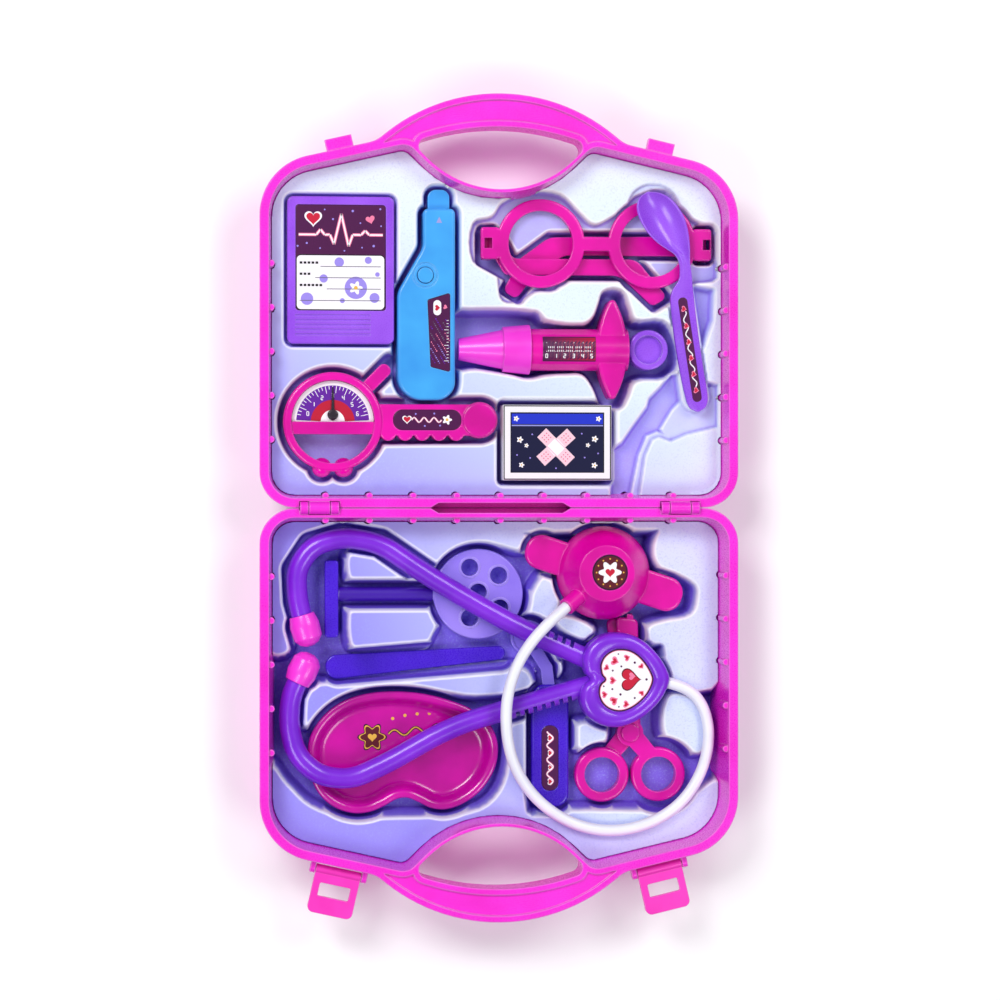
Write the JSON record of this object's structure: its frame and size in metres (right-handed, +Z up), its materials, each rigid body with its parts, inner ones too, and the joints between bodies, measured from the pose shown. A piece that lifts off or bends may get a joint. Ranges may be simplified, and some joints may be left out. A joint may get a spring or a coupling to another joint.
{
  "type": "toy doctor case",
  "caption": "Toy doctor case lying open, with a hinged lid, carrying handle and latches; formed trays hold a play stethoscope, syringe, glasses, gauge and other instruments.",
  "frame": {"origin": "on the floor under the middle of the hinge, the centre of the open case's footprint", "axes": "+X along the hinge, +Y towards the lid's handle, +Z up; rest is the case lying open and flat"},
  "size_m": [0.231, 0.398, 0.039],
  "materials": {
    "case_plastic": "moulded, light gloss",
    "tray_sheet": "thin formed sheet",
    "pin_steel": "drawn wire",
    "lilac_plastic": "moulded, light gloss",
    "blue_plastic": "moulded, light gloss",
    "pink_plastic": "moulded, light gloss",
    "magenta_plastic": "moulded, light gloss",
    "violet_plastic": "moulded, light gloss",
    "indigo_plastic": "moulded, light gloss",
    "white_hose": "soft extruded tube",
    "seal_rubber": "moulded",
    "needle_black": "moulded",
    "printed_label": "printed, laminated",
    "carton": "printed, coated"
  },
  "bodies": {
    "base": {"base_shell": "case_plastic", "hinge_pins": "pin_steel", "latch_pins": "pin_steel", "base_insert_tray": "tray_sheet"},
    "lid": {"lid_shell": "case_plastic", "lid_insert_tray": "tray_sheet"},
    "latch_left": {"latch_left": "case_plastic"},
    "latch_right": {"latch_right": "case_plastic"},
    "chart": {"chart_board": "lilac_plastic", "chart_label": "printed_label"},
    "thermometer": {"thermometer_front_shell": "blue_plastic", "thermometer_back_shell": "blue_plastic", "thermometer_probe": "blue_plastic", "thermometer_label": "printed_label"},
    "thermometer_button": {"thermometer_button": "blue_plastic"},
    "glasses": {"glasses_front": "magenta_plastic", "glasses_hinge_pins": "pin_steel"},
    "temple_left": {"glasses_temple_left": "magenta_plastic"},
    "temple_right": {"glasses_temple_right": "magenta_plastic"},
    "spoon": {"spoon": "lilac_plastic", "spoon_label": "printed_label"},
    "syringe": {"syringe_barrel": "magenta_plastic", "syringe_nozzle": "pink_plastic", "syringe_scale_label": "printed_label"},
    "plunger": {"syringe_plunger": "lilac_plastic", "syringe_plunger_seal": "seal_rubber"},
    "gauge": {"gauge_body": "magenta_plastic", "gauge_back_cover": "magenta_plastic", "gauge_dial": "printed_label", "gauge_needle_pivot": "carton", "gauge_handle_label": "printed_label"},
    "needle": {"gauge_needle": "needle_black"},
    "bandage_box": {"bandage_box": "carton"},
    "stethoscope": {"ear_tube_upper": "violet_plastic", "ear_tip_upper": "pink_plastic", "ear_tube_lower": "violet_plastic", "ear_tip_lower": "pink_plastic", "heart_front_cover": "violet_plastic", "heart_back_cover": "violet_plastic", "heart_label": "printed_label", "stethoscope_tube": "white_hose", "chest_piece_body": "magenta_plastic", "chest_piece_diaphragm": "violet_plastic", "chest_piece_label": "printed_label"},
    "hammer": {"hammer_handle": "indigo_plastic", "hammer_head": "indigo_plastic"},
    "depressor": {"tongue_depressor": "indigo_plastic"},
    "dish": {"kidney_dish": "magenta_plastic"},
    "throat_mirror": {"throat_mirror_handle": "indigo_plastic", "throat_mirror_neck": "indigo_plastic", "throat_mirror_label": "printed_label"},
    "scissors_left": {"scissors_half_left": "magenta_plastic", "scissors_rivet": "magenta_plastic"},
    "scissors_right": {"scissors_half_right": "magenta_plastic"}
  },
  "joints": [
    {"name": "lid_hinge", "type": "hinge", "parent": "base", "child": "lid", "pos_m": [0, 0, 0.036], "axis": [1, 0, 0], "range_deg": [0, 180]},
    {"name": "latch_left_hinge", "type": "hinge", "parent": "base", "child": "latch_left", "pos_m": [-0.07772, -0.17473, 0.0295], "axis": [-0.9744, 0.225, 0], "range_deg": [0, 90]},
    {"name": "latch_right_hinge", "type": "hinge", "parent": "base", "child": "latch_right", "pos_m": [0.07772, -0.17473, 0.0295], "axis": [-0.9744, -0.225, 0], "range_deg": [0, 90]},
    {"name": "chart_lift", "type": "slide", "parent": "lid", "child": "chart", "axis": [0, 0, -1], "range_m": [-0.04, 0]},
    {"name": "thermometer_lift", "type": "slide", "parent": "lid", "child": "thermometer", "axis": [0, 0, -1], "range_m": [-0.04, 0]},
    {"name": "thermometer_button_press", "type": "slide", "parent": "thermometer", "child": "thermometer_button", "axis": [0, 0, -1], "range_m": [0, 0.001], "stiffness_N_per_m": 300},
    {"name": "glasses_lift", "type": "slide", "parent": "lid", "child": "glasses", "axis": [0, 0, -1], "range_m": [-0.26, 0]},
    {"name": "temple_left_hinge", "type": "hinge", "parent": "glasses", "child": "temple_left", "pos_m": [-0.0052, 0.1285, 0.01375], "axis": [0, 1, 0], "range_deg": [0, 90]},
    {"name": "temple_right_hinge", "type": "hinge", "parent": "glasses", "child": "temple_right", "pos_m": [0.1021, 0.1285, 0.00975], "axis": [0, -1, 0], "range_deg": [0, 90]},
    {"name": "spoon_lift", "type": "slide", "parent": "glasses", "child": "spoon", "axis": [0, 0, -1], "range_m": [-0.04, 0]},
    {"name": "syringe_lift", "type": "slide", "parent": "lid", "child": "syringe", "axis": [0, 0, -1], "range_m": [-0.1, 0]},
    {"name": "plunger_slide", "type": "slide", "parent": "syringe", "child": "plunger", "axis": [1, 0, 0], "range_m": [0, 0.025]},
    {"name": "gauge_lift", "type": "slide", "parent": "lid", "child": "gauge", "axis": [0, 0, -1], "range_m": [-0.04, 0]},
    {"name": "needle_turn", "type": "hinge", "parent": "gauge", "child": "needle", "pos_m": [-0.08, 0.0449, 0.021], "axis": [0, 0, 1], "range_deg": [-70, 70]},
    {"name": "bandage_box_lift", "type": "slide", "parent": "lid", "child": "bandage_box", "axis": [0, 0, -1], "range_m": [-0.04, 0]},
    {"name": "stethoscope_lift", "type": "slide", "parent": "base", "child": "stethoscope", "axis": [0, 0, -1], "range_m": [-0.16, 0]},
    {"name": "hammer_lift", "type": "slide", "parent": "base", "child": "hammer", "axis": [0, 0, -1], "range_m": [-0.08, 0]},
    {"name": "depressor_lift", "type": "slide", "parent": "base", "child": "depressor", "axis": [0, 0, -1], "range_m": [-0.08, 0]},
    {"name": "dish_lift", "type": "slide", "parent": "base", "child": "dish", "axis": [0, 0, -1], "range_m": [-0.08, 0]},
    {"name": "throat_mirror_lift", "type": "slide", "parent": "base", "child": "throat_mirror", "axis": [0, 0, -1], "range_m": [-0.08, 0]},
    {"name": "scissors_lift", "type": "slide", "parent": "base", "child": "scissors_left", "axis": [0, 0, -1], "range_m": [-0.08, 0]},
    {"name": "scissors_open", "type": "hinge", "parent": "scissors_left", "child": "scissors_right", "pos_m": [0.0665, -0.1105, 0.008], "axis": [0, 0, 1], "range_deg": [0, 30]}
  ],
  "couplings": [
    {"joint": "temple_left_hinge", "follows": "glasses_lift", "rad_per_m": -6.04},
    {"joint": "temple_right_hinge", "follows": "glasses_lift", "rad_per_m": -6.04},
    {"joint": "plunger_slide", "follows": "syringe_lift", "ratio": -0.25},
    {"joint": "hammer_lift", "follows": "stethoscope_lift", "ratio": 0.5},
    {"joint": "depressor_lift", "follows": "stethoscope_lift", "ratio": 0.5},
    {"joint": "dish_lift", "follows": "stethoscope_lift", "ratio": 0.5},
    {"joint": "throat_mirror_lift", "follows": "stethoscope_lift", "ratio": 0.5},
    {"joint": "scissors_lift", "follows": "stethoscope_lift", "ratio": 0.5},
    {"joint": "scissors_open", "follows": "stethoscope_lift", "rad_per_m": -3.27}
  ]
}
